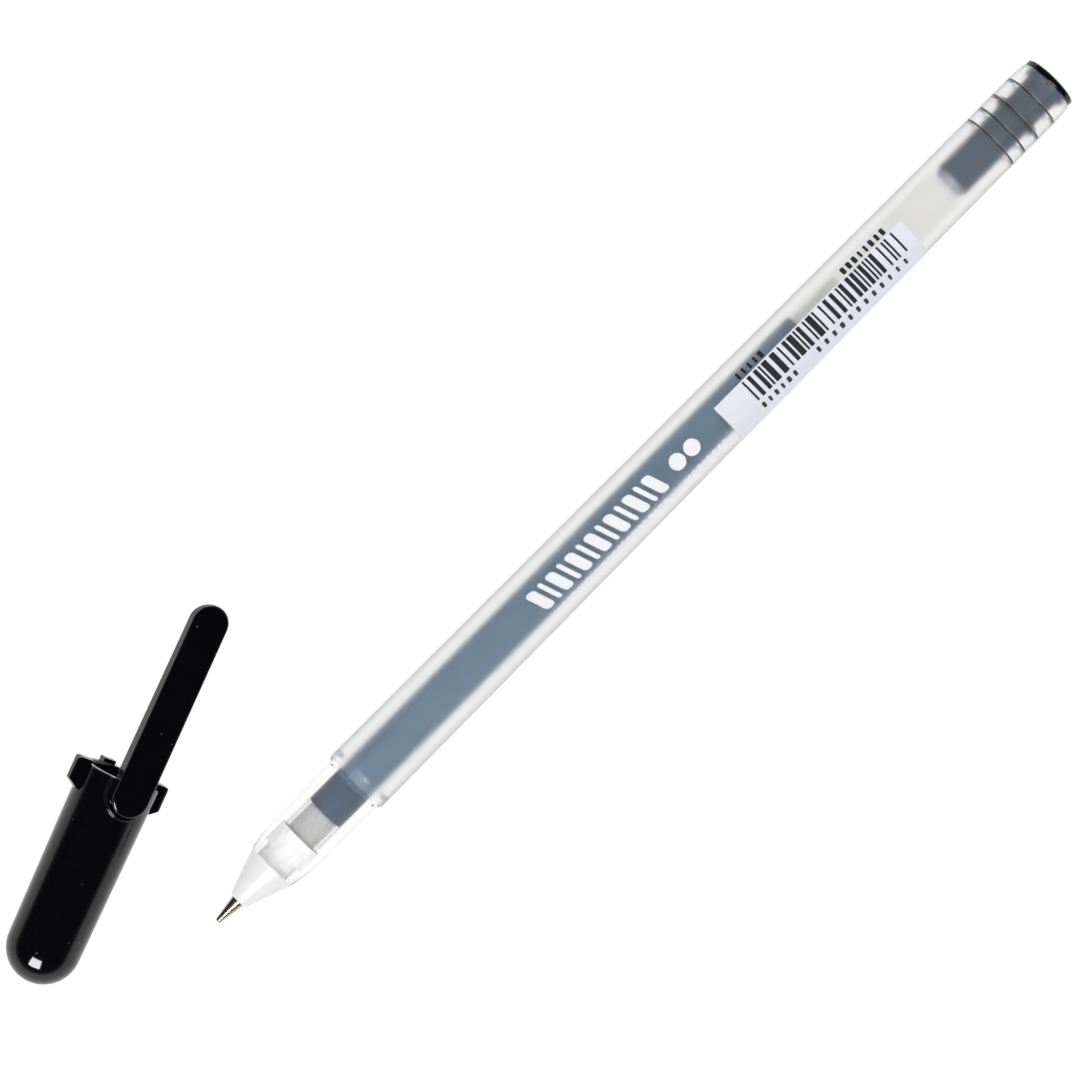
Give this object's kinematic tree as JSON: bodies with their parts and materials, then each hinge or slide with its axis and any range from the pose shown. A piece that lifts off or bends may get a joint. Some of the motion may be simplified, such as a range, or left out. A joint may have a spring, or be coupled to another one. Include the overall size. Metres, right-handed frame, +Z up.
{
  "type": "gel pen",
  "caption": "Straight stick gel pen with a frosted barrel, clear neck, white nose cone and metal point; its black domed cap with a flat clip lies off beside it.",
  "frame": {"origin": "centre of the whole layout's footprint, on the surface the pen and the cap lie on", "axes": "+X along the pen from its ball to its end plug, +Y towards the side the cap lies on, +Z up"},
  "size_m": [0.1624, 0.032, 0.0129],
  "materials": {
    "cap_black": "gloss",
    "seal_rubber": "matte",
    "barrel_frosted": "frosted, glossy at the neck and the tail",
    "plug_black": "gloss",
    "nose_white": "satin",
    "point_metal": "turned",
    "ball_metal": "polished",
    "tube_natural": "satin",
    "ink_dark": "wet",
    "follower_grease": "wet",
    "label_film": "satin"
  },
  "bodies": {
    "pen": {"barrel": "barrel_frosted", "end_plug": "plug_black", "nose_cone": "nose_white", "point_body": "point_metal", "refill_tube": "tube_natural", "gel_ink": "ink_dark", "barcode_label": "label_film"},
    "cap": {"cap": "cap_black", "cap_seal": "seal_rubber"},
    "ball": {"writing_ball": "ball_metal"},
    "follower": {"ink_follower": "follower_grease"}
  },
  "joints": [
    {"name": "cap_pull", "type": "slide", "parent": "pen", "child": "cap", "axis": [-0.9382, -0.3461, 0], "range_m": [0, 0.024]},
    {"name": "ball_roll", "type": "hinge", "parent": "pen", "child": "ball", "pos_m": [-0.05978, -0.0117, 0.0043], "axis": [0, 1, 0], "continuous": true},
    {"name": "follower_travel", "type": "slide", "parent": "pen", "child": "follower", "axis": [-1, 0, 0], "range_m": [0, 0.08], "deforming": ["gel_ink"]}
  ]
}
